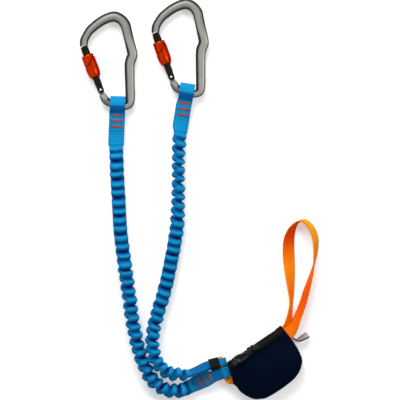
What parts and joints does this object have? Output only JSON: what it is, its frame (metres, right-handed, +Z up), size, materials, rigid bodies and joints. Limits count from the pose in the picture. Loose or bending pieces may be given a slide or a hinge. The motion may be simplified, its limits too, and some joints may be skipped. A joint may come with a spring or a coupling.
{
  "type": "via ferrata lanyard",
  "caption": "Y-shaped via ferrata lanyard: locking carabiners on gathered elastic arms, a pouch with a folded tear-webbing absorber, and a webbing loop for the harness.",
  "frame": {"origin": "middle of the laid-out lanyard's box, on the surface it lies on", "axes": "+Y from the pouch towards the carabiners, +X to the pouch's side as seen from above, +Z up off the surface"},
  "size_m": [0.2782, 0.4675, 0.0314],
  "materials": {
    "frame_metal": "bead-blasted grey anodised",
    "gate_metal": "black anodised",
    "sleeve_metal": "satin orange-red anodised",
    "steel": "satin",
    "blue_webbing": "woven polyamide",
    "orange_webbing": "woven polyamide",
    "tear_webbing": "woven polyamide",
    "navy_fabric": "coated ripstop",
    "black_tape": "woven tape",
    "puller_cord": "braided",
    "slider_metal": "dark lacquer",
    "label_tape": "satin ribbon"
  },
  "bodies": {
    "pouch": {"pouch_front": "navy_fabric", "pouch_back": "navy_fabric", "edge_binding": "black_tape", "zip_tape": "black_tape", "absorber_webbing": "tear_webbing", "lanyard_loop": "orange_webbing", "harness_loop": "orange_webbing", "arm_keeper": "black_tape", "label": "label_tape", "lower_eye_left": "blue_webbing", "lower_eye_right": "blue_webbing", "elastic_arm_left": "blue_webbing", "elastic_arm_right": "blue_webbing"},
    "zip_slider": {"zip_slider": "slider_metal", "puller_cord": "puller_cord", "puller_knot": "puller_cord"},
    "arm_end_left": {"upper_eye_left": "blue_webbing"},
    "carabiner_left": {"carabiner_frame_left": "frame_metal", "gate_rivet_left": "steel"},
    "gate_left": {"gate_left": "gate_metal", "gate_spring_left": "steel", "gate_plunger_left": "steel"},
    "sleeve_left": {"locking_sleeve_left": "sleeve_metal", "sleeve_spring_left": "steel"},
    "arm_end_right": {"upper_eye_right": "blue_webbing"},
    "carabiner_right": {"carabiner_frame_right": "frame_metal", "gate_rivet_right": "steel"},
    "gate_right": {"gate_right": "gate_metal", "gate_spring_right": "steel", "gate_plunger_right": "steel"},
    "sleeve_right": {"locking_sleeve_right": "sleeve_metal", "sleeve_spring_right": "steel"}
  },
  "joints": [
    {"name": "arm_stretch_left", "type": "slide", "parent": "pouch", "child": "arm_end_left", "axis": [0, 1, 0], "range_m": [0, 0.25], "stiffness_N_per_m": 80, "deforming": ["elastic_arm_left"]},
    {"name": "carabiner_swing_left", "type": "hinge", "parent": "arm_end_left", "child": "carabiner_left", "pos_m": [-0.09553, 0.11056, 0.0078], "axis": [0.9789, -0.2043, 0], "range_deg": [-120, 120]},
    {"name": "gate_open_left", "type": "hinge", "parent": "carabiner_left", "child": "gate_left", "pos_m": [-0.11478, 0.12762, 0.0078], "axis": [0, 0, -1], "range_deg": [0, 24], "stiffness_Nm_per_rad": 0.25},
    {"name": "sleeve_turn_left", "type": "hinge", "parent": "gate_left", "child": "sleeve_left", "pos_m": [-0.11478, 0.12762, 0.0078], "axis": [-0.3634, 0.9316, 0], "range_deg": [0, 90], "stiffness_Nm_per_rad": 0.01},
    {"name": "arm_stretch_right", "type": "slide", "parent": "pouch", "child": "arm_end_right", "axis": [0.159, 0.9873, 0], "range_m": [0, 0.25], "stiffness_N_per_m": 80, "deforming": ["elastic_arm_right"]},
    {"name": "carabiner_swing_right", "type": "hinge", "parent": "arm_end_right", "child": "carabiner_right", "pos_m": [-0.01363, 0.12524, 0.0078], "axis": [0.974, -0.2265, 0], "range_deg": [-120, 120]},
    {"name": "gate_open_right", "type": "hinge", "parent": "carabiner_right", "child": "gate_right", "pos_m": [-0.03249, 0.14273, 0.0078], "axis": [0, 0, -1], "range_deg": [0, 24], "stiffness_Nm_per_rad": 0.25},
    {"name": "sleeve_turn_right", "type": "hinge", "parent": "gate_right", "child": "sleeve_right", "pos_m": [-0.03249, 0.14273, 0.0078], "axis": [-0.3421, 0.9397, 0], "range_deg": [0, 90], "stiffness_Nm_per_rad": 0.01},
    {"name": "zip_travel", "type": "slide", "parent": "pouch", "child": "zip_slider", "axis": [0.8211, 0.5707, 0], "range_m": [0, 0.05]}
  ]
}
